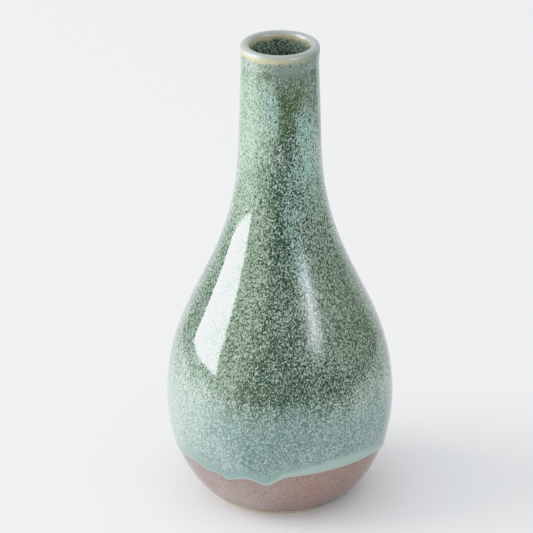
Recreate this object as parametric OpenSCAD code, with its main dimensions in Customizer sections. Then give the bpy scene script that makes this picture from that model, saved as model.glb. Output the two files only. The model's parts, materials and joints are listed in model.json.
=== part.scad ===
// Ceramic bud vase: a round-bellied stoneware bottle with a long neck. A green glaze coats it
// outside and inside, and stops in a wavy run line above a band of brown slip.
// The origin is the centre of the foot, on the surface that it stands on, and +Z points up
// through the mouth. Angles round the vase start at the front, -Y, and grow towards +X.

/* [Overall] */
// Height from the table to the top of the lip, in mm
height = 200; // [175:1:260]
// Diameter of the belly over the glaze
belly_d = 95; // [75:0.5:130]
// Height of the widest part of the belly
belly_z = 43.5; // [36:0.5:60]

/* [Foot] */
// Diameter of the foot, in bare clay
foot_d = 56.5; // [45:0.5:66]
// Width of the ring that the vase stands on
foot_ring_w = 6; // [4:0.5:9]
// Depth of the hollow inside the foot ring
foot_recess = 2; // [1:0.1:3]
// Slope of the wall where it leaves the foot, in degrees above the table
foot_angle = 38; // [25:1:60]
// How far the wall keeps that slope before it turns up
foot_reach = 21.5; // [10:0.5:26]

/* [Belly and shoulder] */
// How far the wall stays upright below the widest part
belly_pull = 8; // [4:0.5:14]
// How far the wall stays upright above the widest part
shoulder_pull = 44.5; // [25:0.5:50]
// Thickness of the clay in the belly
belly_wall = 4; // [3:0.1:5.5]
// Thickness of the clay floor inside
floor_t = 4; // [3:0.1:7]

/* [Neck and lip] */
// Height where the shoulder turns into the neck
neck_z = 155; // [130:1:160]
// Diameter of the neck there, over the glaze
neck_base_d = 34.4; // [33:0.1:44]
// Diameter of the neck below the lip, over the glaze
neck_top_d = 32.1; // [31:0.1:42]
// How far the shoulder follows the slope of the neck before it swells
neck_pull = 56; // [30:0.5:60]
// Diameter of the lip over the glaze
lip_d = 32.7; // [31.5:0.1:43]
// Diameter of the mouth and of the straight bore below it, inside the glaze
mouth_d = 25; // [18:0.1:26]
// Height of the rounded bead that forms the lip
bead_h = 9; // [6:0.5:12]

/* [Coats] */
// Thickness of the glaze on the clay, outside and inside
glaze_t = 0.6; // [0.4:0.05:1]
// Thickness of the brown slip on the clay
slip_t = 0.25; // [0.15:0.05:0.35]
// Height of the bare clay edge below the slip
slip_start = 0.9; // [0.5:0.1:3]
// Height of the top of the slip, which the glaze covers
slip_top = 32; // [29:0.5:36]
// Mean height of the line where the glaze stops
run_line = 25.3; // [24.5:0.1:27]
// How far that line is tilted, half from its lowest to its highest side
run_tilt = 1.4; // [0:0.1:1.5]

/* [Hidden] */

clay_color = [0.86, 0.79, 0.62];
slip_color = [0.52, 0.43, 0.41];
glaze_color = [0.45, 0.6, 0.53];
liner_color = [0.3, 0.45, 0.38];

// The direction in which the run line is highest, and its runs:
// direction, depth, and width on the side before and after that direction
run_high_side = 30;
runs = [
    [-72, 2.2, 18, 12], [-43, 1.2, 5, 5], [-29.5, 2.3, 6, 7], [-24, 2.6, 34, 20],
    [-7, 4.2, 7.5, 6.5], [8, 0.6, 12, 14], [82, 4.4, 18, 15], [118, 2.2, 8, 12],
    [163, 4, 14, 8], [205, 2.4, 9, 13], [246, 3.4, 12, 7]
];

// The clay without its coats
foot_r = foot_d / 2;
belly_r = belly_d / 2 - glaze_t;
neck_base_r = neck_base_d / 2 - glaze_t;
neck_top_r = neck_top_d / 2 - glaze_t;
bore_r = mouth_d / 2 + glaze_t;
lip_r = lip_d / 2 - glaze_t;
rim_r = (lip_r - bore_r) / 2;
rim_center = [bore_r + rim_r, height - glaze_t - rim_r];
neck_top_z = height - bead_h;
neck_slope = (neck_base_r - neck_top_r) / (neck_top_z - neck_z);
floor_z = foot_recess + floor_t;
belly_in_r = belly_r - belly_wall;

// The run line is cut by a ring that reaches past the wall on both sides
cut_in_r = foot_r;
cut_out_r = belly_d / 2 + 10;
cut_step = 2;
coat_start = slip_start + 5;

// Steps along each stretch of the profile
low_steps = 16;
shoulder_steps = 36;
bead_steps = 6;
rim_steps = 8;
$fn = 96;

// A point and a direction on the curve that leaves a towards b and reaches d from c
function curve_point(a, b, c, d, t) =
    pow(1 - t, 3) * a + 3 * pow(1 - t, 2) * t * b + 3 * (1 - t) * t * t * c + pow(t, 3) * d;
function curve_slope(a, b, c, d, t) =
    pow(1 - t, 2) * (b - a) + 2 * (1 - t) * t * (c - b) + t * t * (d - c);

// The same curve as a list of points, moved away from the axis by a distance
function moved_curve(q, steps, first, away) = [
    for (i = [first:steps])
        let (t = i / steps, s = curve_slope(q[0], q[1], q[2], q[3], t))
            curve_point(q[0], q[1], q[2], q[3], t) + away / norm(s) * [s[1], -s[0]]
];

// Points of a rising list that lie above or below a height, with a new one at that height
function crossing(a, b, z) = a + (b - a) * (z - a[1]) / (b[1] - a[1]);
function above(list, z) = [
    for (i = [0:len(list) - 1]) each concat(
        i > 0 && list[i - 1][1] < z && list[i][1] > z ? [crossing(list[i - 1], list[i], z)] : [],
        list[i][1] >= z ? [list[i]] : []
    )
];
function below(list, z) = [
    for (i = [0:len(list) - 1]) each concat(
        i > 0 && list[i - 1][1] < z && list[i][1] > z ? [crossing(list[i - 1], list[i], z)] : [],
        list[i][1] <= z ? [list[i]] : []
    )
];
function reversed(list) = [for (i = [len(list) - 1:-1:0]) list[i]];

// The four curves of the clay: foot to belly, belly to neck, the same inside, and the lip's bead
low_curve = [
    [foot_r, 0],
    [foot_r + foot_reach * cos(foot_angle), foot_reach * sin(foot_angle)],
    [belly_r, belly_z - belly_pull],
    [belly_r, belly_z]
];
shoulder_curve = [
    [belly_r, belly_z],
    [belly_r, belly_z + shoulder_pull],
    [neck_base_r + neck_slope * neck_pull, neck_z - neck_pull],
    [neck_base_r, neck_z]
];
shoulder_in_curve = [
    [belly_in_r, belly_z],
    [belly_in_r, belly_z + shoulder_pull],
    [bore_r, neck_z - neck_pull],
    [bore_r, neck_z]
];
bead_curve = [
    [neck_top_r, neck_top_z],
    [neck_top_r - neck_slope * bead_h / 4, neck_top_z + bead_h / 4],
    [lip_r, rim_center[1] - bead_h / 3],
    [lip_r, rim_center[1]]
];

// A quarter of the lip's round top, from one angle to the next
function rim_arc(from, coat) = [
    for (i = [1:rim_steps])
        let (a = from + 90 * i / rim_steps) rim_center + (rim_r + coat) * [cos(a), sin(a)]
];

// The outside of the wall from the foot to the crest of the lip, under a coat of a thickness
function outside(coat) = concat(
    moved_curve(low_curve, low_steps, 0, coat),
    moved_curve(shoulder_curve, shoulder_steps, 1, coat),
    moved_curve(bead_curve, bead_steps, 0, coat),
    rim_arc(0, coat)
);

// The inside of the wall from the middle of the floor up to the crest of the lip
function inside(coat) = concat(
    [[0, floor_z + coat]],
    above(moved_curve(low_curve, low_steps, 0, -belly_wall - coat), floor_z + coat),
    moved_curve(shoulder_in_curve, shoulder_steps, 1, -coat),
    [rim_center - [rim_r + coat, 0]],
    reversed(rim_arc(90, coat)),
    [rim_center + [0, rim_r + coat]]
);

// How far direction a lies past direction b, from -180 to 180
function turn_from(a, b) = let (d = (a - b + 540) % 360) d - 180;

// Height of the glaze's lower edge in a direction
function run_height(a) = run_line + run_tilt * cos(a - run_high_side) - hang(a, 0);
function hang(a, i) = i == len(runs) ? 0 :
    let (d = turn_from(a, runs[i][0]), w = d < 0 ? runs[i][2] : runs[i][3])
        runs[i][1] * exp(-pow(d / w, 2)) + hang(a, i + 1);

// Everything below the run line, as a ring round the lower wall
module below_run_line() {
    count = 360 / cut_step;
    ring = [for (i = [0:count - 1]) let (a = i * cut_step) [sin(a), -cos(a), run_height(a)]];
    points = concat(
        [for (p = ring) [cut_in_r * p[0], cut_in_r * p[1], 0]],
        [for (p = ring) [cut_out_r * p[0], cut_out_r * p[1], 0]],
        [for (p = ring) [cut_out_r * p[0], cut_out_r * p[1], p[2]]],
        [for (p = ring) [cut_in_r * p[0], cut_in_r * p[1], p[2]]]
    );
    faces = [
        for (k = [0:3], i = [0:count - 1])
            let (j = (i + 1) % count, low = k * count, high = (k + 1) % 4 * count)
                each [[low + i, high + i, high + j], [low + i, high + j, low + j]]
    ];
    polyhedron(points, faces);
}

// Fired clay: foot ring, floor, wall and lip in one thrown piece
module stoneware_body() {
    color(clay_color)
    rotate_extrude()
    polygon(concat(
        outside(0),
        reversed(inside(0)),
        [[0, foot_recess], [foot_r - foot_ring_w - foot_recess, foot_recess], [foot_r - foot_ring_w, 0]]
    ));
}

// Brown slip on the lower wall, from just above the foot to under the glaze
module brown_slip() {
    color(slip_color)
    rotate_extrude()
    polygon(concat(
        below(above(outside(slip_t), slip_start), slip_top),
        reversed(below(above(outside(0), slip_start), slip_top))
    ));
}

// Green glaze on the outside, from its run line over the slip to the crest of the lip
module outer_glaze() {
    color(glaze_color)
    difference() {
        rotate_extrude()
        polygon(concat(
            above(outside(glaze_t), coat_start),
            reversed(above(outside(0), slip_top)),
            reversed(below(above(outside(slip_t), coat_start), slip_top))
        ));
        below_run_line();
    }
}

// The same glaze inside, from the crest of the lip down over the floor
module inner_glaze() {
    color(liner_color)
    rotate_extrude()
    polygon(concat(inside(0), reversed(inside(glaze_t))));
}

stoneware_body();
brown_slip();
outer_glaze();
inner_glaze();
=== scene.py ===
import json
import math

import bpy
import numpy as np
from bpy.props import FloatProperty, FloatVectorProperty, IntProperty, PointerProperty
from bpy.types import Operator, Panel, PropertyGroup
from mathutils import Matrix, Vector


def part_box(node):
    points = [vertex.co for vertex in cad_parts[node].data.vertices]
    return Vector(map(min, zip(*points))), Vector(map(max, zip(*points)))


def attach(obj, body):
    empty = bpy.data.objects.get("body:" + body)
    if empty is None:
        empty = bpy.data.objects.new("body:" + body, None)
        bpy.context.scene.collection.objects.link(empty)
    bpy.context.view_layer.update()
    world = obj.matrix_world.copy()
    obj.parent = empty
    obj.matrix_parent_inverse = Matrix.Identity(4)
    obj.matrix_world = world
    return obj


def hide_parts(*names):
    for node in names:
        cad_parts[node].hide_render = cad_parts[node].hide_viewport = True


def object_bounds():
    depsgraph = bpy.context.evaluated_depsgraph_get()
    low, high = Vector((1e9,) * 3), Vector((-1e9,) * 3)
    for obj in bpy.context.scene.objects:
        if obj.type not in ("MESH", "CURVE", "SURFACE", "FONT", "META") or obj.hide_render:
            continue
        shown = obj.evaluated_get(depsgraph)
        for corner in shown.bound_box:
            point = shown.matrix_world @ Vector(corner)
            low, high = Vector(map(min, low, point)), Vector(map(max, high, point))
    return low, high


bl_info = {
    "name": "Ceramic Bud Vase",
    "version": (1, 0, 0),
    "blender": (4, 5, 0),
    "location": "View3D > Sidebar > Bud Vase",
    "description": "Builds a thrown stoneware bud vase with its slip and its runny glaze",
    "category": "Add Mesh",
}

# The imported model: its box, and the sizes that the pieces take from it
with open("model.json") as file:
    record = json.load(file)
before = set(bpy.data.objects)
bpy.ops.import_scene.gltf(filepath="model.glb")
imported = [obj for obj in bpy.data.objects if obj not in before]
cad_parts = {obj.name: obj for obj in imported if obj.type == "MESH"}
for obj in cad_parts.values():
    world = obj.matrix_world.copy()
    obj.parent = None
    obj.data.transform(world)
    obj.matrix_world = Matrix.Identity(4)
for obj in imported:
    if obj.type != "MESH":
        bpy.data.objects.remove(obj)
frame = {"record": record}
cad_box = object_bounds()
MM = 0.001
SLIP_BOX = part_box("brown_slip")
BORE = next(m for m in frame["record"]["mounts"] if m["name"] == "mouth_bore")["dims"]


# ------------------------------
# Settings
# ------------------------------

def length(label, text, default):
    return FloatProperty(name=label, description=text, default=default, unit="LENGTH",
                         subtype="DISTANCE", precision=4)


def turn(label, text, degrees):
    return FloatProperty(name=label, description=text, default=math.radians(degrees),
                         unit="ROTATION", subtype="ANGLE")


def colour(label, text, red, green, blue):
    return FloatVectorProperty(name=label, description=text, size=3, subtype="COLOR",
                               min=0, max=1, default=(red, green, blue))


def amount(label, text, default, **limits):
    return FloatProperty(name=label, description=text, default=default, **limits)


class BUDVASE_PG_sizes(PropertyGroup):
    """Sizes of the vase"""
    height: length("Height", "From the table to the top of the lip", cad_box[1].z)
    belly_d: length("Belly diameter", "Over the glaze at the widest part", 95 * MM)
    belly_z: length("Belly height", "Height of the widest part", 43.5 * MM)
    foot_d: length("Foot diameter", "Diameter of the foot, in bare clay", 56.5 * MM)
    foot_ring_w: length("Foot ring width", "Width of the ring that the vase stands on", 6 * MM)
    foot_recess: length("Foot hollow", "Depth of the hollow inside the foot ring", 2 * MM)
    foot_round: length("Foot rounding", "Radius of the foot ring's sponged edges", 0.5 * MM)
    foot_angle: turn("Foot angle", "Slope of the wall where it leaves the foot", 38)
    foot_reach: length("Foot reach", "How far the wall keeps that slope", 21.5 * MM)
    belly_pull: length("Belly pull", "How far the wall stays upright below the belly", 8 * MM)
    shoulder_pull: length("Shoulder pull", "How far it stays upright above", 44.5 * MM)
    belly_wall: length("Wall", "Thickness of the clay in the belly", 4 * MM)
    floor_t: length("Floor", "Thickness of the clay floor", 4 * MM)
    neck_z: length("Neck height", "Where the shoulder turns into the neck", 155 * MM)
    neck_base_d: length("Neck base", "Diameter of the neck there, over the glaze", 34.4 * MM)
    neck_top_d: length("Neck top", "Diameter of the neck below the lip", 32.1 * MM)
    neck_pull: length("Neck pull", "How far the shoulder follows the neck", 56 * MM)
    lip_d: length("Lip", "Diameter of the lip over the glaze", 32.7 * MM)
    mouth_d: length("Mouth", "Diameter of the mouth inside the glaze", 2 * BORE["r_mm"] * MM)
    bead_h: length("Bead", "Height of the rounded bead that forms the lip", 9 * MM)
    glaze_t: length("Glaze", "Thickness of the glaze", 0.6 * MM)
    slip_t: length("Slip", "Thickness of the slip", 0.25 * MM)
    slip_start: length("Slip start", "Height of the bare clay edge", SLIP_BOX[0].z)
    slip_top: length("Slip top", "Height of the top of the slip", SLIP_BOX[1].z)
    run_line: length("Run line", "Mean height of the line where the glaze stops", 25.3 * MM)
    run_tilt: length("Run tilt", "How far that line is tilted, half of its range", 1.4 * MM)
    edge_round: length("Edge rounding", "Radius of the glaze's rounded lower edge", 0.75 * MM)
    edge_swell: length("Edge swelling", "How much thicker the glaze hangs at its edge", 0.22 * MM)
    roll_swell: length("Roll", "Further thickness of the roll on the right", 0.34 * MM)
    columns: IntProperty(name="Columns", description="Faces round the vase", default=360,
                         min=60, max=400)


class BUDVASE_PG_colours(PropertyGroup):
    """Colours of the clay, the slip and the glaze"""
    clay: colour("Clay", "Fired clay", 0.80, 0.70, 0.48)
    clay_dark: colour("Clay shade", "Clay in its pores and streaks", 0.42, 0.31, 0.19)
    slip: colour("Slip", "Brown slip", 0.235, 0.165, 0.151)
    slip_dark: colour("Slip specks", "Dark specks in the slip", 0.115, 0.070, 0.058)
    # Painted sheen: pale slip low on the front left, where the lit table is mirrored; also a pale
    # patch on the back
    slip_pale_sheen: colour("Dusty slip", "Where the slip is thin and pale", 0.41, 0.325, 0.30)
    slip_warm: colour("Slip blush", "Rosier patches of the slip", 0.30, 0.165, 0.128)
    pale: colour("Glaze crystals", "Pale crystals in the glaze", 0.35, 0.445, 0.365)
    mint: colour("Mint crystals", "Crystals on the thick side of the neck", 0.42, 0.56, 0.45)
    aqua: colour("Aqua crystals", "Bluer crystals in the patches", 0.33, 0.50, 0.46)
    misty: colour("Misty crystals", "Grey-blue crystals low on the belly", 0.31, 0.42, 0.39)
    # Painted light: paler crystals for the low belly on the key lamp's side
    lamplit: colour("Milky crystals", "Crystals where the low glaze is milky", 0.47, 0.55, 0.52)
    dark: colour("Glaze ground", "Dark glaze between the crystals", 0.030, 0.062, 0.042)
    olive: colour("Olive ground", "Olive glaze between the crystals", 0.075, 0.115, 0.050)
    teal: colour("Teal ground", "Ground low on the belly", 0.10, 0.172, 0.155)
    pool: colour("Pooled glaze", "Smooth glaze above its lower edge", 0.225, 0.33, 0.31)
    roll: colour("Rolled edge", "Thick pale roll at the edge on the right", 0.38, 0.48, 0.44)
    rim: colour("Thin glaze", "Glaze that breaks thin over the lip", 0.56, 0.52, 0.33)
    crest: colour("Crest", "Glaze on the crest of the lip", 0.35, 0.395, 0.385)
    # Painted shade: smooth grey glaze under the lip, darkened as the shade under the bead
    shadow: colour("Bare stretch", "Smooth grey glaze under the lip", 0.17, 0.225, 0.195)
    olive_pale: colour("Olive crystals", "Dim crystals in the olive glaze", 0.20, 0.245, 0.17)


class BUDVASE_PG_studio(PropertyGroup):
    """Table, lamps and camera"""
    table: colour("Table", "Colour of the table", 0.86, 0.87, 0.89)
    sky: amount("Ambient light", "Strength of the light from all round", 0.95, min=0)
    key: amount("Key light", "Power of the soft lamp on the left", 16.5, min=0)
    fill: amount("Low fill light", "Power of the small lamp near the table", 0.4, min=0)
    panel: amount("Key reflection", "Brightness of that lamp as the glaze mirrors it", 15.5, min=0)
    card: amount("Card reflection", "Brightness of the card on the right", 27.0, min=0)
    distance: length("Camera distance", "From the vase's axis, along the table", 1.5)
    camera_z: length("Camera height", "Above the table", 0.7776)
    tilt: turn("Camera tilt", "How far the camera looks down", 24.29)
    lens: FloatProperty(name="Lens", description="Focal length in mm", default=267.7)


def sizes():
    return bpy.context.scene.bud_vase_sizes


def colours():
    return bpy.context.scene.bud_vase_colours


def rgba(value):
    return (value[0], value[1], value[2], 1.0)


# ------------------------------
# Outlines of the wall: points (radius, height) from the foot up
# ------------------------------

def moved_curve(a, b, c, d, steps, away):
    """The curve from a towards b that reaches d from c, moved off the axis by a distance."""
    a, b, c, d = (np.array(p, float) for p in (a, b, c, d))
    t = np.linspace(0, 1, steps + 1)[:, None]
    points = (1 - t) ** 3 * a + 3 * (1 - t) ** 2 * t * b + 3 * (1 - t) * t * t * c + t ** 3 * d
    slope = (1 - t) ** 2 * (b - a) + 2 * (1 - t) * t * (c - b) + t * t * (d - c)
    slope /= np.linalg.norm(slope, axis=1)[:, None]
    return points + away * np.stack([slope[:, 1], -slope[:, 0]], 1)


def rim(s):
    """Radius and centre of the lip's round top in the clay."""
    bore_r = s.mouth_d / 2 + s.glaze_t
    radius = (s.lip_d / 2 - s.glaze_t - bore_r) / 2
    return radius, np.array([bore_r + radius, s.height - s.glaze_t - radius])


def rim_arc(s, coat, degrees):
    radius, centre = rim(s)
    turns = np.radians(degrees)
    return centre + (radius + coat) * np.stack([np.cos(turns), np.sin(turns)], 1)


# Steps along each stretch of the outline
LOW_STEPS = 48
SHOULDER_STEPS = 90
INNER_STEPS = 60
NECK_STEPS = 9
BORE_STEPS = 11
BEAD_STEPS = 14
ROUND_SEGMENTS = 5
# Close steps on both sides of the crest, so that the two glazes meet there with one slope
RISE = [0, 8, 16, 24, 32, 40, 48, 56, 64, 72, 79, 85, 88.5, 90]


def low_wall(s, fine, away):
    """The wall from the foot to its widest part, moved off the axis by a distance."""
    foot_r = s.foot_d / 2
    belly_r = s.belly_d / 2 - s.glaze_t
    knee = (foot_r + s.foot_reach * math.cos(s.foot_angle),
            s.foot_reach * math.sin(s.foot_angle))
    return moved_curve((foot_r, 0), knee, (belly_r, s.belly_z - s.belly_pull),
                       (belly_r, s.belly_z), int(LOW_STEPS * fine), away)


def straight(start, end, steps):
    """Evenly spaced points between two others."""
    return start + np.linspace(0, 1, steps + 1)[1:-1, None] * (end - start)


def outside(s, coat, fine=1.0):
    """The wall's outside from the foot to the crest of the lip, under a coat."""
    belly_r, base_r, top_r, lip_r = (
        d / 2 - s.glaze_t for d in (s.belly_d, s.neck_base_d, s.neck_top_d, s.lip_d))
    top_z = s.height - s.bead_h
    slope = (base_r - top_r) / (top_z - s.neck_z)
    rim_z = rim(s)[1][1]
    low = low_wall(s, fine, coat)
    shoulder = moved_curve((belly_r, s.belly_z), (belly_r, s.belly_z + s.shoulder_pull),
                           (base_r + slope * s.neck_pull, s.neck_z - s.neck_pull),
                           (base_r, s.neck_z), int(SHOULDER_STEPS * fine), coat)
    bead = moved_curve((top_r, top_z), (top_r - slope * s.bead_h / 4, top_z + s.bead_h / 4),
                       (lip_r, rim_z - s.bead_h / 3), (lip_r, rim_z),
                       int(BEAD_STEPS * fine), coat)
    neck = straight(shoulder[-1], bead[0], NECK_STEPS)
    return np.vstack([low, shoulder[1:], neck, bead, rim_arc(s, coat, RISE)[1:]])


def inside(s, coat, fine=1.0):
    """The wall's inside from the middle of the floor to the crest of the lip, over a coat."""
    in_r = s.belly_d / 2 - s.glaze_t - s.belly_wall
    bore_r = s.mouth_d / 2 + s.glaze_t
    floor_z = s.foot_recess + s.floor_t + coat
    low = low_wall(s, fine, -s.belly_wall - coat)
    start = next(i for i, p in enumerate(low) if p[1] > floor_z + 0.02 * MM)
    share = (floor_z - low[start - 1][1]) / (low[start][1] - low[start - 1][1])
    corner = low[start - 1] + share * (low[start] - low[start - 1])
    shoulder = moved_curve((in_r, s.belly_z), (in_r, s.belly_z + s.shoulder_pull),
                           (bore_r, s.neck_z - s.neck_pull), (bore_r, s.neck_z),
                           int(INNER_STEPS * fine), -coat)
    top = rim_arc(s, coat, [180 - a for a in RISE])
    neck = straight(shoulder[-1], top[0], BORE_STEPS)
    return np.vstack([[(0, floor_z)], [corner], low[start:], shoulder[1:], neck, top])


def cut_between(points, low, high):
    """The stretch of a rising outline between two heights."""
    heights = points[:, 1]
    ends = [np.array([np.interp(z, heights, points[:, 0]), z]) for z in (low, high)]
    kept = points[(heights > low + 0.01 * MM) & (heights < high - 0.01 * MM)]
    return np.vstack([[ends[0]], kept, [ends[1]]])


# ------------------------------
# Turning an outline on the wheel
# ------------------------------

def deselect():
    bpy.ops.object.select_all(action="DESELECT")


def select_mesh(action="SELECT"):
    bpy.ops.mesh.select_all(action=action)


def turned(name, outline, columns, rounded=()):
    """A closed outline, drawn vertex by vertex and spun round the Z axis into a mesh."""
    deselect()
    bpy.ops.mesh.primitive_circle_add(vertices=3, radius=MM, location=(0, 0, 0))
    piece = bpy.context.active_object
    piece.name = piece.data.name = name
    bpy.ops.object.mode_set(mode="EDIT")
    bpy.ops.mesh.select_mode(type="VERT")
    select_mesh()
    bpy.ops.mesh.merge(type="CENTER")
    bpy.ops.transform.translate(value=(outline[0][0], 0, outline[0][1]))
    closed = np.vstack([outline, outline[:1]])
    for here, there in zip(closed[:-1], closed[1:]):
        step = (there[0] - here[0], 0, there[1] - here[1])
        bpy.ops.mesh.extrude_vertices_move(TRANSFORM_OT_translate={"value": step})
    select_mesh()
    bpy.ops.mesh.remove_doubles(threshold=0.001 * MM)
    for corner, radius in rounded:
        select_near(piece, corner)
        bpy.ops.mesh.bevel(offset=radius, segments=ROUND_SEGMENTS, affect="VERTICES")
    select_mesh()
    bpy.ops.mesh.spin(steps=columns, angle=math.tau, center=(0, 0, 0), axis=(0, 0, 1))
    select_mesh()
    bpy.ops.mesh.remove_doubles(threshold=0.002 * MM)
    bpy.ops.mesh.normals_make_consistent(inside=False)
    select_mesh("DESELECT")
    bpy.ops.object.mode_set(mode="OBJECT")
    if signed_volume(piece) < 0:
        raise RuntimeError(name + " is inside out")
    return piece


def select_near(piece, corner):
    """In edit mode, select only the outline's vertex at (radius, height)."""
    select_mesh("DESELECT")
    bpy.ops.object.mode_set(mode="OBJECT")
    target = (corner[0], 0, corner[1])
    best = min(piece.data.vertices, key=lambda v: math.dist(v.co, target))
    best.select = True
    bpy.ops.object.mode_set(mode="EDIT")


def signed_volume(piece):
    return sum(f.area * f.normal.dot(f.center) for f in piece.data.polygons) / 3


def quarter_round(share):
    """Height of a quarter circle at a share of its width."""
    return np.sqrt(np.clip(1 - (1 - np.clip(share, 0, 1)) ** 2, 0, 1))


def points_of(piece):
    """The piece's vertices as an array, and their direction from the front in degrees."""
    points = np.zeros(len(piece.data.vertices) * 3)
    piece.data.vertices.foreach_get("co", points)
    points = points.reshape(-1, 3)
    return points, np.degrees(np.arctan2(points[:, 0], -points[:, 1]))


def put_points(piece, radius, height, around):
    """Set the piece's vertices by radius, height and direction."""
    turns = np.radians(around)
    points = np.stack([radius * np.sin(turns), -radius * np.cos(turns), height], 1)
    piece.data.vertices.foreach_set("co", points.astype(np.float32).ravel())
    piece.data.update()


def rows_of(points, outline):
    """For each vertex, the place in the outline of the point that it was spun from."""
    radius = np.hypot(points[:, 0], points[:, 1])
    found = np.zeros(len(points), int)
    nearest = np.full(len(points), 1e9)
    for row, (r, z) in enumerate(outline):
        gap = (radius - r) ** 2 + (points[:, 2] - z) ** 2
        closer = gap < nearest
        found[closer] = row
        nearest[closer] = gap[closer]
    return found


def finish_piece(piece, node, material, sharp=35):
    """Smooth shading, the material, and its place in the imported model."""
    deselect()
    piece.select_set(True)
    bpy.context.view_layer.objects.active = piece
    bpy.ops.object.shade_smooth_by_angle(angle=math.radians(sharp))
    piece.data.materials.clear()
    piece.data.materials.append(material)
    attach(piece, "root")
    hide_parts(node)


# ------------------------------
# The run line
# ------------------------------

# The thick roll along the edge: its middle and its width, in degrees
ROLL_MIDDLE = 34
ROLL_WIDTH = 34
# The tips of the runs, where the glaze hangs thickest: direction, width before and after
TIPS = ((-5.5, 6, 5), (-29, 9, 8), (82, 16, 14))
# The mesh attribute that holds the distance from the glaze's lower edge, in mm
EDGE_DISTANCE = "above_edge"

# The direction in which the line is highest, and its runs:
# direction, depth in mm, and width on the side before and after that direction
RUN_HIGH_SIDE = 30
RUNS = [
    (-72, 2.2, 18, 12), (-43, 1.2, 5, 5), (-29.5, 2.3, 6, 7), (-24, 2.6, 34, 20),
    (-7, 4.2, 7.5, 6.5), (8, 0.6, 12, 14), (82, 4.4, 18, 15), (118, 2.2, 8, 12),
    (163, 4, 14, 8), (205, 2.4, 9, 13), (246, 3.4, 12, 7),
]


def lobe(around, centre, before, after):
    """1 in one direction, falling to 0 on both sides of it."""
    gap = (around - centre + 540) % 360 - 180
    return np.exp(-(gap / np.where(gap < 0, before, after)) ** 2)


def run_height(s, around):
    """Height of the glaze's lower edge in a direction."""
    height = s.run_line + s.run_tilt * np.cos(np.radians(around - RUN_HIGH_SIDE))
    for direction, depth, before, after in RUNS:
        height = height - depth * MM * lobe(around, direction, before, after)
    return height


def slip_height(s, around):
    """Height of the slip's lower edge, where the foot was wiped clean by hand."""
    turns = np.radians(around)
    wave = 0.55 * np.cos(turns + 0.5) + 0.12 * np.sin(3 * turns + 1) + 0.06 * np.sin(8 * turns)
    return s.slip_start + wave * MM


# ------------------------------
# Shader helpers
# ------------------------------

def add(tree, kind, **settings):
    """A new shader node of a kind, with its settings."""
    node = tree.nodes.new("ShaderNode" + kind)
    for name, value in settings.items():
        setattr(node, name, value)
    return node


def feed(tree, socket, source):
    """Link another node's output to a socket, or set it to a value."""
    if isinstance(source, bpy.types.NodeSocket):
        tree.links.new(source, socket)
    elif source is not None:
        socket.default_value = source


def feed_all(tree, node, **sources):
    """Feed a node's inputs, named with underscores for spaces, and return its outputs."""
    for label, source in sources.items():
        feed(tree, node.inputs[label.replace("_", " ")], source)
    return node.outputs


def maths(tree, operation, *sources):
    node = add(tree, "Math", operation=operation)
    for socket, source in zip(node.inputs, sources):
        feed(tree, socket, source)
    return node.outputs[0]


def times(tree, first, second):
    return maths(tree, "MULTIPLY", first, second)


def times_plus(tree, first, second, third):
    return maths(tree, "MULTIPLY_ADD", first, second, third)


def minus(tree, first, second):
    return maths(tree, "SUBTRACT", first, second)


def centred(tree, value):
    """A noise value, moved so that its middle is 0."""
    return minus(tree, value, 0.5)


def split(tree, vector):
    """The X, Y and Z parts of a vector."""
    return feed_all(tree, add(tree, "SeparateXYZ"), Vector=vector)


def facing(tree, parts):
    """Direction of a split vector round the Z axis, 0 at the front and growing towards +X."""
    front = times(tree, parts[1], -1.0)
    return maths(tree, "ARCTAN2", parts[0], front)


def remap(tree, value, low, high, to_low=0.0, to_high=1.0):
    """A soft step from one value to another as the input goes from low to high."""
    node = add(tree, "MapRange", interpolation_type="SMOOTHSTEP")
    return feed_all(tree, node, Value=value, From_Min=low, From_Max=high,
                    To_Min=to_low, To_Max=to_high)[0]


def mix(tree, share, first, second, kind="MIX"):
    node = add(tree, "Mix", data_type="RGBA", blend_type=kind, clamp_factor=True)
    for place, source in ((0, share), (6, first), (7, second)):
        feed(tree, node.inputs[place], source)
    return node.outputs[2]


def over(tree, below, share, colour, strength=1.0):
    """A colour laid over another one where a mask says so."""
    if strength != 1.0:
        share = times(tree, share, strength)
    return mix(tree, share, below, rgba(colour))


def noise(tree, vector, scale, detail=2.0, roughness=0.5, distortion=0.0):
    node = add(tree, "TexNoise")
    return feed_all(tree, node, Vector=vector, Scale=scale, Detail=detail,
                    Roughness=roughness, Distortion=distortion)["Fac"]


def stretch(tree, vector, scale, place=(0, 0, 0)):
    node = add(tree, "Mapping")
    feed(tree, node.inputs["Vector"], vector)
    node.inputs["Scale"].default_value = scale
    node.inputs["Location"].default_value = place
    return node.outputs[0]


def new_group(name, inputs, outputs):
    """A shader node group with named inputs, each with its default, and named outputs."""
    tree = bpy.data.node_groups.new(name, "ShaderNodeTree")
    for label, default in inputs:
        if isinstance(default, (int, float)):
            kind = "NodeSocketFloat"
        elif len(default) == 4:
            kind = "NodeSocketColor"
        else:
            kind = "NodeSocketVector"
        socket = tree.interface.new_socket(label, in_out="INPUT", socket_type=kind)
        socket.default_value = default
    for label, kind in outputs:
        tree.interface.new_socket(label, in_out="OUTPUT", socket_type="NodeSocket" + kind)
    start = tree.nodes.new("NodeGroupInput")
    end = tree.nodes.new("NodeGroupOutput")
    return tree, start.outputs, end.inputs


def use(tree, name, **sources):
    """Place a built group in a tree, with its inputs fed."""
    node = add(tree, "Group", node_tree=bpy.data.node_groups[name], label=name)
    return feed_all(tree, node, **sources)


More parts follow.
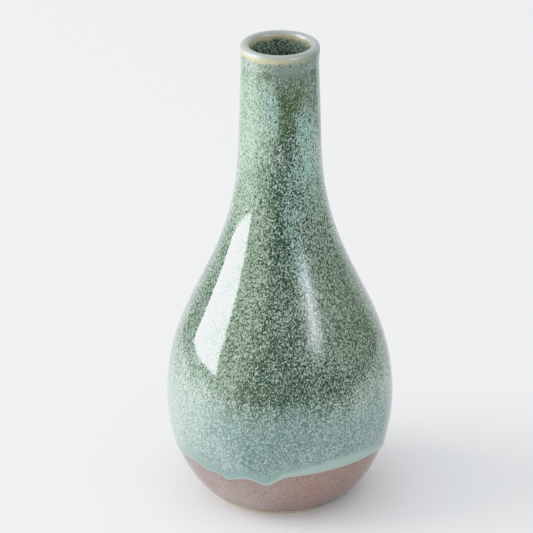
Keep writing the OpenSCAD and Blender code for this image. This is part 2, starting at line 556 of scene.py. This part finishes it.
def lay_out(tree):
    """Put the nodes in columns, each to the left of what it feeds."""
    depth = {node.name: 0 for node in tree.nodes}
    for _ in range(60):
        moved = False
        for link in tree.links:
            wanted = depth[link.to_node.name] + 1
            if depth[link.from_node.name] < wanted:
                depth[link.from_node.name] = wanted
                moved = True
        if not moved:
            break
    rows = {}
    for node in tree.nodes:
        column = depth[node.name]
        rows[column] = rows.get(column, 0) + 1
        node.location = (-240 * column, 220 * (1 - rows[column]))


# ------------------------------
# Shared effects
# ------------------------------

def build_place_group():
    """Direction round the vase and height above the table, plain and with a slow wobble."""
    tree, given, out = new_group(
        "Place On Vase", [("Vector", (0, 0, 0)), ("Wobble", 1.0)],
        [("Direction", "Float"), ("Height", "Float"),
         ("Wavy Direction", "Float"), ("Wavy Height", "Float")])
    parts = split(tree, given["Vector"])
    direction = facing(tree, parts)
    height = times(tree, parts[2], 1000.0)
    for name, plain, reach, shape, place, scale in (
            ("Direction", direction, 0.9, (1, 1, 0.55), (0, 0, 0), 95.0),
            ("Height", height, 26.0, (1, 1, 0.8), (3, 1, 2), 80.0)):
        sway = centred(tree, noise(tree, stretch(tree, given["Vector"], shape, place),
                                   scale, 3.0, 0.62))
        sway = times(tree, sway, given["Wobble"])
        feed(tree, out[name], plain)
        feed(tree, out["Wavy " + name], times_plus(tree, sway, reach, plain))
    lay_out(tree)


def build_patch_group():
    """A soft patch round one direction and height: 1 in its middle, 0 far from it."""
    tree, given, out = new_group(
        "Soft Patch",
        [("Direction", 0.0), ("Height", 0.0), ("Middle Direction", 0.0), ("Half Width", 0.5),
         ("Middle Height", 100.0), ("Half Height", 20.0)],
        [("Mask", "Float")])
    turned_off = minus(tree, given["Direction"], given["Middle Direction"])
    near = minus(tree, maths(tree, "COSINE", turned_off), 1.0)
    narrow = maths(tree, "DIVIDE", 2.0, maths(tree, "POWER", given["Half Width"], 2.0))
    side = times(tree, near, narrow)
    lift = minus(tree, given["Height"], given["Middle Height"])
    lift = maths(tree, "DIVIDE", lift, given["Half Height"])
    both = minus(tree, side, times(tree, lift, lift))
    feed(tree, out["Mask"], maths(tree, "EXPONENT", both))
    lay_out(tree)


def build_mottle_group():
    """Fine worm-like crystals in the glaze. Cover moves the share of crystals."""
    tree, given, out = new_group(
        "Crystal Mottle",
        [("Vector", (0, 0, 0)), ("Size", 0.0008), ("Cover", 0.5), ("Softness", 0.1)],
        [("Mask", "Float"), ("Grain", "Float")])
    flow = stretch(tree, given["Vector"], (1, 1, 0.72))
    worms = noise(tree, flow, maths(tree, "DIVIDE", 1.0, given["Size"]), 1.2, 0.5, 0.7)
    drift = noise(tree, stretch(tree, given["Vector"], (1, 1, 0.5), (7, 5, 3)), 210.0)
    level = times_plus(tree, centred(tree, drift), 0.06, worms)
    edge = minus(tree, 0.76, times(tree, given["Cover"], 0.52))
    low = minus(tree, edge, given["Softness"])
    high = maths(tree, "ADD", edge, given["Softness"])
    feed(tree, out["Mask"], remap(tree, level, low, high))
    feed(tree, out["Grain"], worms)
    lay_out(tree)


def build_lip_group():
    """Glaze that runs off the round lip and leaves it thin: 1 where the clay shows through."""
    tree, given, out = new_group(
        "Thin Lip", [("Vector", (0, 0, 0)), ("Lowest", 195.0), ("Highest", 198.0)],
        [("Mask", "Float")])
    height = use(tree, "Place On Vase", Vector=given["Vector"])["Height"]
    ragged = noise(tree, stretch(tree, given["Vector"], (1, 1, 0.3)), 260.0, 3.0, 0.6)
    ragged = times_plus(tree, centred(tree, ragged), 3.4, height)
    feed(tree, out["Mask"], remap(tree, ragged, given["Lowest"], given["Highest"]))
    lay_out(tree)


def build_grain_group():
    """Sandy grain: a speckle mask and a fine height for bumps."""
    tree, given, out = new_group(
        "Sandy Grain", [("Vector", (0, 0, 0)), ("Size", 0.0006), ("Amount", 0.5)],
        [("Specks", "Float"), ("Height", "Float")])
    fine = maths(tree, "DIVIDE", 1.0, given["Size"])
    grains = noise(tree, given["Vector"], fine, 2.0, 0.6)
    coarse = noise(tree, given["Vector"], times(tree, fine, 0.27), 2.0, 0.5)
    edge = minus(tree, 0.74, times(tree, given["Amount"], 0.3))
    high = maths(tree, "ADD", edge, 0.12)
    feed(tree, out["Specks"], remap(tree, grains, edge, high))
    feed(tree, out["Height"], times_plus(tree, coarse, 0.6, grains))
    lay_out(tree)


def empty_tree(owner):
    """The node tree of a material or world, with nothing in it."""
    owner.use_nodes = True
    owner.node_tree.nodes.clear()
    return owner.node_tree


def bare_material(name):
    material = bpy.data.materials.new(name)
    tree = empty_tree(material)
    return material, tree, add(tree, "OutputMaterial").inputs[0]


def new_material(name):
    material, tree, surface = bare_material(name)
    shader = add(tree, "BsdfPrincipled")
    feed(tree, surface, shader.outputs[0])
    place = add(tree, "TexCoord")
    return material, tree, shader, place.outputs["Object"]


def bump(tree, height, strength, distance, normal=None):
    return feed_all(tree, add(tree, "Bump"), Strength=strength, Distance=distance,
                    Height=height, Normal=normal)[0]


def middle_patch(tree, place, degrees, half_width):
    """A soft patch round one direction, at every height."""
    return use(tree, "Soft Patch", Direction=place["Direction"], Height=0.0,
               Middle_Direction=math.radians(degrees), Half_Width=math.radians(half_width),
               Middle_Height=0.0, Half_Height=10.0)["Mask"]


def patches(tree, place, rows):
    """The sum of soft patches: direction, half width, height, half height, amount."""
    total = 0.0
    for direction, width, height, reach, strength in rows:
        mask = use(tree, "Soft Patch", Direction=place["Wavy Direction"],
                   Height=place["Wavy Height"], Middle_Direction=math.radians(direction),
                   Half_Width=math.radians(width), Middle_Height=float(height),
                   Half_Height=float(reach))["Mask"]
        total = times_plus(tree, mask, strength, total)
    return total


# Where the glaze is thick and full of crystals, and where its dark ground shows:
# direction, half width, height, half height, amount
COVER_PATCHES = [
    (-70, 40, 178, 46, 0.18), (-24, 14, 180, 13, 0.26), (-17, 10, 190, 2.8, -0.34),
    (2, 8, 184, 3, -0.22), (-8, 9, 181, 8, 0.36), (12, 13, 176, 12, -0.18),
    (4, 13, 150, 34, -0.10), (-13, 8, 160, 9, -0.12), (-52, 22, 134, 14, 0.12),
    (42, 15, 162, 14, 0.26), (66, 16, 146, 18, 0.24), (16, 9, 130, 16, 0.02),
    (-3, 12, 118, 34, -0.12), (-30, 14, 92, 26, 0.08), (-8, 18, 60, 7, -0.10),
    (-2, 16, 80, 14, -0.06), (24, 30, 62, 8, -0.09), (0, 24, 46, 10, -0.12),
    (-9, 16, 38, 10, -0.10), (-66, 26, 50, 18, 0.14), (58, 24, 54, 10, 0.14),
    (10, 60, 36, 12, 0.05), (112, 24, 150, 48, 0.22), (150, 16, 120, 60, -0.18),
    (196, 34, 165, 50, 0.26), (178, 30, 70, 26, -0.12), (240, 15, 140, 50, -0.16),
    (232, 30, 74, 24, 0.14),
]
OLIVE_PATCHES = [
    (-34, 18, 104, 40, 0.45), (30, 28, 182, 9, 1.0), (-16, 11, 189.5, 3.2, 1.3),
    (6, 8, 174, 9, 0.6),
    (-20, 16, 68, 12, 0.25), (62, 30, 90, 30, 0.35), (150, 24, 186, 16, 0.9),
    (215, 22, 110, 40, 0.5), (120, 22, 88, 26, 0.4),
]
AQUA_PATCHES = [
    (42, 18, 160, 22, 1.0), (18, 9, 130, 22, 0.9), (-8, 10, 180, 7, 0.9), (14, 60, 40, 16, 0.4),
    (96, 20, 140, 30, 0.7), (190, 24, 150, 34, 0.8), (262, 20, 120, 30, 0.6),
]
MINT_PATCHES = [(-46, 30, 172, 30, 0.9), (-50, 20, 54, 12, 0.4), (120, 34, 172, 40, 0.8)]
# Painted light: where the key lamp falls, low on the left and back left of the belly
KEY_LIGHT_PATCHES = [(-60, 34, 42, 22, 0.6), (230, 30, 44, 20, 0.5)]
# The stretch under the lip where the glaze is smooth and grey, darkened there as painted shade
# under the bead
UNDER_LIP_SHADE_PATCHES = [
    (16, 26, 192.5, 4.2, 1.1), (60, 20, 194, 3, 0.7), (150, 30, 194, 4, 0.9),
    (236, 22, 194.5, 4, 0.8),
]
# Where the slip is rosier; where it is paler, as a painted sheen of the lit table low on the front
# left and as a pale patch on the back; and where it is darker, as painted shade low on the right
# front, away from the key lamp, and as a dark patch at the back
BLUSH_PATCHES = [(28, 34, 17, 14, 0.9), (150, 30, 14, 14, 0.7), (255, 26, 16, 14, 0.6)]
PALE_AND_SHEEN_PATCHES = [(-24, 24, 8, 13, 0.6), (110, 24, 8, 12, 0.35)]
DARK_AND_SHADE_PATCHES = [(58, 30, 8, 18, 0.42), (180, 40, 10, 16, 0.3)]
# Height in mm where the glaze on the lip starts to thin
LIP_LOWEST = 195.8


def glaze_material(c):
    """Runny green glaze: crystals over a dark ground, pooled low down, thin at the lip."""
    material, tree, shader, point = new_material("reactive_green_glaze")
    place = use(tree, "Place On Vase", Vector=point, Wobble=1.0)
    streaks = noise(tree, stretch(tree, point, (1, 1, 0.22), (2, 9, 4)), 130.0, 3.0, 0.6)
    cover = times_plus(tree, centred(tree, streaks), 0.34, 0.50)
    cover = maths(tree, "ADD", cover, patches(tree, place, COVER_PATCHES))
    cover = maths(tree, "MINIMUM", cover, 0.64)
    low_down = remap(tree, place["Wavy Height"], 59.0, 47.0)
    softness = times_plus(tree, low_down, 0.06, 0.11)
    mottle = use(tree, "Crystal Mottle", Vector=point, Size=0.00058, Cover=cover,
                 Softness=softness)

    # The ground and the crystals each change over the vase
    olive, aqua, mint, bare = (
        maths(tree, "MINIMUM", patches(tree, place, rows), 1.0)
        for rows in (OLIVE_PATCHES, AQUA_PATCHES, MINT_PATCHES, UNDER_LIP_SHADE_PATCHES))
    # Painted light: the low belly made paler on the left and back left, where the key lamp falls
    lamplit = patches(tree, place, KEY_LIGHT_PATCHES)
    ground = over(tree, rgba(c.dark), olive, c.olive)
    ground = over(tree, ground, mint, c.mint, 0.42)
    ground = over(tree, ground, low_down, c.teal)
    ground = over(tree, ground, lamplit, c.misty, 0.8)
    crystal = over(tree, rgba(c.pale), mint, c.mint)
    crystal = over(tree, crystal, aqua, c.aqua)
    crystal = over(tree, crystal, olive, c.olive_pale, 0.75)
    crystal = over(tree, crystal, low_down, c.misty)
    crystal = over(tree, crystal, lamplit, c.lamplit)
    body = mix(tree, mottle["Mask"], ground, crystal)
    shade = noise(tree, stretch(tree, point, (1, 1, 0.7), (5, 2, 8)), 1500.0, 2.0, 0.7)
    shade = remap(tree, shade, 0.25, 0.75)
    body = mix(tree, 1.0, body, mix(tree, shade, (0.62, 0.64, 0.62, 1), (1.38, 1.36, 1.38, 1)),
               "MULTIPLY")

    # Smooth glaze: pooled above the edge, rolled up on the right, and bare and grey under the lip,
    # darkened there as painted shade under the bead
    gap = add(tree, "Attribute", attribute_name=EDGE_DISTANCE).outputs["Fac"]
    body = over(tree, body, remap(tree, gap, 8.0, 2.0), c.pool, 0.8)
    rolled = middle_patch(tree, place, ROLL_MIDDLE, ROLL_WIDTH)
    top = times_plus(tree, rolled, 4.6, 0.3)
    ragged = noise(tree, stretch(tree, point, (1, 1, 1), (1, 6, 2)), 260.0)
    above = minus(tree, top, times_plus(tree, ragged, 1.6, gap))
    body = over(tree, body, remap(tree, above, -2.4, 0.2), c.roll, 0.72)
    # Painted shade under the lip's bead, over smooth grey glaze
    body = over(tree, body, bare, c.shadow, 0.9)
    body = over(tree, body, remap(tree, gap, 1.0, 0.45), c.roll, 0.7)
    finish_glaze(c, tree, shader, point, place, mottle, body, 197.5, 0.045)
    return material


def finish_glaze(c, tree, shader, point, place, mottle, body, lip_top, gloss):
    """The thin glaze of the lip, its pale crest, and the shine and soft waves of the whole."""
    thin = use(tree, "Thin Lip", Vector=point, Lowest=LIP_LOWEST, Highest=lip_top)["Mask"]
    # Painted shade: the thin glaze of the lip darkened on the right, away from the key lamp
    right_lip_shade = middle_patch(tree, place, 60, 56)
    thin_colour = over(tree, rgba(c.rim), right_lip_shade, c.shadow, 0.75)
    body = mix(tree, times(tree, thin, 0.92), body, thin_colour)
    body = over(tree, body, remap(tree, place["Height"], 198.3, 199.2), c.crest, 0.9)
    rough = times_plus(tree, mottle["Mask"], 0.05, gloss)
    rough = times_plus(tree, thin, 0.24, rough)
    wave = noise(tree, stretch(tree, point, (1, 1, 0.5)), 150.0)
    normal = bump(tree, mottle["Grain"], 0.05, 0.00016, bump(tree, wave, 0.10, 0.0006))
    feed_all(tree, shader, Base_Color=body, Roughness=rough, IOR=1.5, Normal=normal)
    lay_out(tree)


def liner_material(c):
    """The same glaze inside the neck and belly, darkened further down the mouth as painted shade.
    """
    material, tree, shader, point = new_material("reactive_green_liner")
    place = use(tree, "Place On Vase", Vector=point, Wobble=1.0)
    cover = remap(tree, place["Wavy Height"], 170.0, 196.0, 0.28, 0.48)
    mottle = use(tree, "Crystal Mottle", Vector=point, Size=0.0006, Cover=cover,
                 Softness=0.12)
    # Painted shade: ground and crystals darken further down inside the mouth
    mouth_shade = remap(tree, place["Height"], 197.0, 170.0)
    ground = over(tree, rgba(c.dark), mouth_shade, (0.016, 0.040, 0.030))
    crystal = over(tree, rgba(c.pale), mouth_shade, (0.16, 0.25, 0.21))
    body = mix(tree, mottle["Mask"], ground, crystal)
    finish_glaze(c, tree, shader, point, place, mottle, body, 198.0, 0.06)
    return material


def slip_material(c):
    """Satin brown slip with fine specks and rosier patches."""
    material, tree, shader, point = new_material("satin_brown_slip")
    place = use(tree, "Place On Vase", Vector=point, Wobble=1.0)
    grain = use(tree, "Sandy Grain", Vector=point, Size=0.0007, Amount=0.7)
    pale_grain = use(tree, "Sandy Grain", Vector=stretch(tree, point, (1, 1, 1), (4, 4, 4)),
                     Size=0.0006, Amount=0.62)
    body = over(tree, rgba(c.slip), patches(tree, place, BLUSH_PATCHES), c.slip_warm)
    # Painted sheen of the lit table, low on the front left, and a paler patch on the back
    body = over(tree, body, patches(tree, place, PALE_AND_SHEEN_PATCHES), c.slip_pale_sheen)
    # Painted shade low on the right front, away from the key lamp, and a darker patch at the back
    body = over(tree, body, patches(tree, place, DARK_AND_SHADE_PATCHES), c.slip_dark)
    body = over(tree, body, grain["Specks"], c.slip_dark, 0.8)
    body = over(tree, body, pale_grain["Specks"], (0.42, 0.32, 0.27), 0.65)
    feed_all(tree, shader, Base_Color=body, IOR=1.85,
             Roughness=times_plus(tree, grain["Specks"], 0.12, 0.15),
             Normal=bump(tree, grain["Height"], 0.25, 0.00012))
    lay_out(tree)
    return material


def clay_material(c):
    """Bare fired clay, sandy and a little streaked from turning."""
    material, tree, shader, point = new_material("bare_buff_clay")
    grain = use(tree, "Sandy Grain", Vector=point, Size=0.0007, Amount=0.45)
    rings = noise(tree, stretch(tree, point, (1, 1, 3)), 240.0, 3.0, 0.6)
    body = over(tree, rgba(c.clay), rings, c.clay_dark, 0.5)
    body = over(tree, body, grain["Specks"], c.clay_dark, 0.6)
    feed_all(tree, shader, Base_Color=body, IOR=1.4,
             Roughness=times_plus(tree, grain["Specks"], 0.1, 0.78),
             Normal=bump(tree, grain["Height"], 0.5, 0.00018))
    lay_out(tree)
    return material


# ------------------------------
# The pieces
# ------------------------------

class BUDVASE_OT_clay(Operator):
    """Thrown body of the vase: foot ring, floor, wall and lip"""
    bl_idname = "budvase.clay"
    bl_label = "Clay Body"

    def execute(self, context):
        s = sizes()
        ring_in = s.foot_d / 2 - s.foot_ring_w
        hollow = np.array([(0, s.foot_recess), (ring_in - s.foot_recess, s.foot_recess),
                           (ring_in, 0)])
        outline = np.vstack([outside(s, 0, 0.7), inside(s, 0, 0.7)[::-1][1:], hollow])
        corners = [((s.foot_d / 2, 0), s.foot_round), ((ring_in, 0), s.foot_round),
                   ((ring_in - s.foot_recess, s.foot_recess), 2 * s.foot_round)]
        piece = turned("vase_clay_body", outline, s.columns // 2, corners)
        finish_piece(piece, "stoneware_body", clay_material(colours()))
        return {"FINISHED"}


class BUDVASE_OT_slip(Operator):
    """Coat of brown slip round the lower wall, wiped off above the foot"""
    bl_idname = "budvase.slip"
    bl_label = "Brown Slip"

    def execute(self, context):
        s = sizes()
        face = cut_between(outside(s, s.slip_t), s.slip_start, s.slip_top)
        back = cut_between(outside(s, 0), s.slip_start, s.slip_top)
        outline = np.vstack([face, back[::-1]])
        piece = turned("vase_brown_slip", outline, s.columns)
        self.wipe_edge(s, piece, outline, len(face))
        finish_piece(piece, "brown_slip", slip_material(colours()))
        return {"FINISHED"}

    def wipe_edge(self, s, piece, outline, count):
        """Let the lower edge rise and fall, and thin out towards the clay."""
        points, around = points_of(piece)
        rows = rows_of(points, outline)
        clay = outside(s, 0)
        front = outside(s, s.slip_t)
        height = outline[rows, 1]
        share = np.clip((s.slip_top - height) / (s.slip_top - s.slip_start), 0, 1) ** 3
        height = height + share * (slip_height(s, around) - s.slip_start)
        on_clay = np.interp(height, clay[:, 1], clay[:, 0])
        on_front = np.interp(height, front[:, 1], front[:, 0])
        thin = quarter_round((height - slip_height(s, around)) / (0.6 * MM))
        is_face = rows < count
        radius = np.where(is_face, on_clay + (0.08 + 0.92 * thin) * (on_front - on_clay), on_clay)
        put_points(piece, radius, height, around)


class BUDVASE_OT_outer_glaze(Operator):
    """Green glaze on the outside, down to its rounded and wavy run line"""
    bl_idname = "budvase.outer_glaze"
    bl_label = "Outer Glaze"

    # Distances of the first rows from the edge, in mm, along the wall
    EDGE_ROWS = [0, 0.03, 0.1, 0.2, 0.33, 0.5, 0.72, 1.0, 1.4, 1.9, 2.5, 3.2, 4.0, 5.0, 6.2,
                 7.6, 9.2, 11, 13, 15]
    # Rows of the outline above the belly that also store their distance from the edge
    ROWS_ABOVE = 60

    def execute(self, context):
        s = sizes()
        clay = outside(s, 0)
        skin = outside(s, s.glaze_t)
        way = np.concatenate([[0], np.cumsum(np.hypot(*np.diff(clay, axis=0).T))])
        top = int(np.argmin(np.abs(clay[:, 1] - s.belly_z)))
        start = np.interp(s.run_line, clay[:top, 1], way[:top])
        gaps = np.array([g * MM for g in self.EDGE_ROWS])
        gaps = gaps[start + gaps < way[top] - 1 * MM]
        face = np.vstack([self.wall(clay, way, start + gaps, s.glaze_t), skin[top:]])
        hidden = [start, (start + way[top]) / 2]
        back = np.vstack([self.wall(clay, way, np.array(hidden), 0), clay[top:]])
        outline = np.vstack([face, back[::-1]])
        piece = turned("vase_outer_glaze", outline, s.columns)
        self.hang_edge(s, piece, outline, clay, way, gaps, start, top)
        finish_piece(piece, "outer_glaze", glaze_material(colours()))
        return {"FINISHED"}

    def wall(self, clay, way, along, coat):
        """Points at distances along the clay's outline, moved out by a coat."""
        slope = np.gradient(clay, way, axis=0)
        slope /= np.linalg.norm(slope, axis=1)[:, None]
        point = np.stack([np.interp(along, way, clay[:, k]) for k in (0, 1)], 1)
        run = np.stack([np.interp(along, way, slope[:, k]) for k in (0, 1)], 1)
        out = np.stack([run[:, 1], -run[:, 0]], 1)
        return point + np.asarray(coat)[..., None] * out

    def hang_edge(self, s, piece, outline, clay, way, gaps, start, top):
        """Pull the lower rows to the run line, and round and thicken them there."""
        points, around = points_of(piece)
        rows = rows_of(points, outline)
        count = len(outline)
        edge = np.interp(run_height(s, around), clay[:top, 1], way[:top])
        gap_of = np.full(count, np.nan)
        gap_of[:len(gaps)] = gaps
        coat_of = np.zeros(count)
        coat_of[:len(gaps)] = 1
        gap_of[count - 1] = 0
        gap_of[count - 2] = (way[top] - start) / 2
        gap = gap_of[rows]
        low = ~np.isnan(gap)
        room = (way[top] - edge) / (way[top] - start)
        along = edge + np.where(low, gap, 0) * room
        past = along - edge
        front = quarter_round(past / s.edge_round)
        roll = lobe(around, ROLL_MIDDLE, ROLL_WIDTH, ROLL_WIDTH)
        tips = sum(lobe(around, *tip) for tip in TIPS)
        settle = np.exp(-(np.clip(past - s.edge_round, 0, None) / (2.6 * MM)) ** 2)
        wide = np.exp(-(np.clip(past - 2.2 * MM, 0, None) / (2.2 * MM)) ** 2)
        full = s.glaze_t + s.edge_swell * (1 + 0.6 * tips) * settle + s.roll_swell * roll * wide
        coat = coat_of[rows] * (s.slip_t + (full - s.slip_t) * front)
        moved = self.wall(clay, way, along, coat)
        radius = np.where(low, moved[:, 0], np.hypot(points[:, 0], points[:, 1]))
        height = np.where(low, moved[:, 1], points[:, 2])
        put_points(piece, radius, height, around)
        end = top + self.ROWS_ABOVE
        reach = np.interp(points[:, 2], clay[:end, 1], way[:end]) - edge
        stored = piece.data.attributes.new(EDGE_DISTANCE, "FLOAT", "POINT")
        values = np.where(low, past, np.clip(reach, 0, None)) / MM
        stored.data.foreach_set("value", values.astype(np.float32))


class BUDVASE_OT_inner_glaze(Operator):
    """Glaze on the inside, from the crest of the lip over the floor"""
    bl_idname = "budvase.inner_glaze"
    bl_label = "Inner Glaze"

    def execute(self, context):
        s = sizes()
        face = inside(s, s.glaze_t)
        back = inside(s, 0, 0.5)
        outline = np.vstack([face, back[::-1]])
        piece = turned("vase_inner_glaze", outline, s.columns)
        finish_piece(piece, "inner_glaze", liner_material(colours()))
        return {"FINISHED"}


# ------------------------------
# Table, lamps and camera
# ------------------------------

# How far the studio's front is turned from the camera's side
STUDIO_TURN = math.radians(4)
# Distances from the vase between which the mirrored table turns dark
LIT_REACH = (0.40, 0.50)


def plain_shader(tree, kind, colour):
    shader = add(tree, kind)
    shader.inputs[0].default_value = rgba(colour)
    return shader


def blend(tree, surface, share, first, second):
    """Feed a surface with two shaders, mixed by a mask."""
    both = add(tree, "MixShader")
    for socket, source in zip(both.inputs, (share, first.outputs[0], second.outputs[0])):
        feed(tree, socket, source)
    feed(tree, surface, both.outputs[0])
    lay_out(tree)


def turn_from_front(tree, parts):
    """Angle between a split vector and the studio's front, without its sign."""
    return maths(tree, "ABSOLUTE", maths(tree, "ADD", facing(tree, parts), STUDIO_TURN))


def is_mirrored(tree):
    return add(tree, "LightPath").outputs["Is Glossy Ray"]


def table_material(studio):
    """Matt pale table, which the glaze mirrors as dark beyond the lit area in front."""
    material, tree, surface = bare_material("pale_table")
    parts = split(tree, add(tree, "NewGeometry").outputs["Position"])
    reach = times(tree, parts[1], parts[1])
    reach = maths(tree, "SQRT", times_plus(tree, parts[0], parts[0], reach))
    far = remap(tree, reach, *LIT_REACH)
    ahead = remap(tree, turn_from_front(tree, parts), math.radians(141), math.radians(124))
    dark = times(tree, far, ahead)
    blend(tree, surface, times(tree, dark, is_mirrored(tree)),
          plain_shader(tree, "BsdfDiffuse", studio.table),
          plain_shader(tree, "BsdfDiffuse", (0.02, 0.02, 0.02)))
    return material


def lamp_material(name, strength, tint, *softness):
    """A glowing panel that fades towards its edges, across and then up."""
    material, tree, surface = bare_material(name)
    parts = split(tree, add(tree, "TexCoord").outputs["UV"])
    across, up = (
        remap(tree, minus(tree, 0.5, maths(tree, "ABSOLUTE", centred(tree, part))),
              0.0, soft)
        for part, soft in zip(parts, softness))
    glow = times(tree, across, up)
    light = plain_shader(tree, "Emission", tint)
    feed(tree, light.inputs[1], times(tree, glow, strength))
    blend(tree, surface, glow, add(tree, "BsdfTransparent"), light)
    return material


def add_panel(name, centre, width, height, material):
    """An upright panel that faces the vase and shows only in reflections."""
    deselect()
    turn_z = math.atan2(centre[1], centre[0]) + math.pi / 2
    bpy.ops.mesh.primitive_plane_add(size=1, location=centre,
                                     rotation=(math.pi / 2, 0, turn_z))
    panel = bpy.context.active_object
    panel.name = name
    panel.scale = (width, height, 1)
    panel.data.materials.append(material)
    for ray in ("camera", "diffuse", "shadow"):
        setattr(panel, "visible_" + ray, False)
    return panel


def add_lamp(name, centre, width, height, power, tint, aim=(0, 0, 0.1)):
    """A soft rectangular lamp that gives light but isn't mirrored."""
    deselect()
    bpy.ops.object.light_add(type="AREA", location=centre)
    lamp = bpy.context.active_object
    lamp.name = name
    lamp.data.shape = "RECTANGLE"
    lamp.data.size = width
    lamp.data.size_y = height
    lamp.data.energy = power
    lamp.data.color = tint
    away = lamp.location - Vector(aim)
    lamp.rotation_euler = away.to_track_quat("Z", "Y").to_euler()
    lamp.visible_glossy = False
    lamp.visible_camera = False
    return lamp


def build_world(studio):
    """Pale light from all round. The glaze mirrors it only behind the vase."""
    world = bpy.data.worlds.new("soft_studio")
    bpy.context.scene.world = world
    tree = empty_tree(world)
    parts = split(tree, add(tree, "TexCoord").outputs["Generated"])
    behind = remap(tree, turn_from_front(tree, parts), math.radians(119), math.radians(138))
    diffuse = plain_shader(tree, "Background", (0.98, 0.99, 1.0))
    diffuse.inputs[1].default_value = studio.sky
    glossy = plain_shader(tree, "Background", (0.97, 0.98, 1.0))
    feed(tree, glossy.inputs[1], maths(tree, "ADD", behind, 0.015))
    surface = add(tree, "OutputWorld").inputs[0]
    blend(tree, surface, is_mirrored(tree), diffuse, glossy)


class BUDVASE_OT_stage(Operator):
    """Pale table, soft lamps and the camera"""
    bl_idname = "budvase.stage"
    bl_label = "Stage"

    def execute(self, context):
        studio = context.scene.bud_vase_studio
        deselect()
        bpy.ops.mesh.primitive_circle_add(vertices=96, radius=4, fill_type="NGON",
                                          location=(0, 0, 0))
        table = bpy.context.active_object
        table.name = "stage_table"
        table.data.materials.append(table_material(studio))
        build_world(studio)
        add_lamp("key_lamp", (-1.3, -0.03, 0.83), 1.0, 1.6, studio.key, (1.0, 0.99, 0.97),
                 (0, -0.03, 0.83))
        add_lamp("low_fill_lamp", (-0.45, -0.36, 0.07), 0.35, 0.12, studio.fill, (1.0, 1.0, 1.0),
                 (0, 0, 0.0))
        glow = lamp_material("key_panel_glow", studio.panel, (0.86, 0.98, 1.0), 0.03, 0.02)
        add_panel("stage_key_panel", (-0.8, -0.02, 0.525), 0.62, 0.95, glow)
        soft = lamp_material("card_glow", studio.card, (0.88, 0.91, 1.0), 0.8, 0.3)
        add_panel("stage_card", (0.70, -0.714, 0.70), 1.0, 1.12, soft)
        self.add_camera(context, studio)
        self.soften_whites(context.scene.view_settings)
        return {"FINISHED"}

    def soften_whites(self, view):
        """Plain colours, with the brightest ones eased together under white."""
        view.view_transform = "Standard"
        view.use_curve_mapping = True
        curves = view.curve_mapping
        curves.white_level = (2, 2, 2)
        rise = curves.curves[3]
        rise.points[0].location = (0, 0)
        rise.points[1].location = (1, 0.915)
        for place, height in ((0.36, 0.70), (0.43, 0.80), (0.50, 0.875), (0.60, 0.897)):
            rise.points.new(place, height)
        rise.points[0].handle_type = "VECTOR"
        curves.update()

    def add_camera(self, context, studio):
        place = (0, -studio.distance, studio.camera_z)
        turned_up = math.pi / 2 - studio.tilt
        bpy.ops.object.camera_add(location=place, rotation=(turned_up, 0, 0))
        camera = bpy.context.active_object
        camera.name = "camera"
        camera.data.lens = studio.lens
        camera.data.sensor_width = 36
        camera.data.shift_x = -0.0251
        camera.data.clip_end = 20
        context.scene.camera = camera


class BUDVASE_PT_panel(Panel):
    """Buttons for each piece and the main sizes"""
    bl_label = "Bud Vase"
    bl_idname = "BUDVASE_PT_panel"
    bl_space_type = "VIEW_3D"
    bl_region_type = "UI"
    bl_category = "Bud Vase"

    def draw(self, context):
        layout = self.layout
        for step in STEPS:
            layout.operator(step.bl_idname)
        for owner, group in GROUPS.items():
            box = layout.box()
            for name in group.__annotations__:
                box.prop(getattr(context.scene, owner), name)


STEPS = (BUDVASE_OT_clay, BUDVASE_OT_slip, BUDVASE_OT_outer_glaze, BUDVASE_OT_inner_glaze,
         BUDVASE_OT_stage)
GROUPS = {"bud_vase_sizes": BUDVASE_PG_sizes, "bud_vase_colours": BUDVASE_PG_colours,
          "bud_vase_studio": BUDVASE_PG_studio}
CLASSES = (*GROUPS.values(), *STEPS, BUDVASE_PT_panel)


def register():
    for cls in CLASSES:
        bpy.utils.register_class(cls)
    for name, group in GROUPS.items():
        setattr(bpy.types.Scene, name, PointerProperty(type=group))


def unregister():
    for name in GROUPS:
        delattr(bpy.types.Scene, name)
    for cls in reversed(CLASSES):
        bpy.utils.unregister_class(cls)


def main():
    register()
    for build in (build_place_group, build_patch_group, build_mottle_group, build_lip_group,
                  build_grain_group):
        build()
    bpy.ops.budvase.clay()
    bpy.ops.budvase.slip()
    bpy.ops.budvase.outer_glaze()
    bpy.ops.budvase.inner_glaze()
    bpy.ops.budvase.stage()


if __name__ == "__main__":
    main()
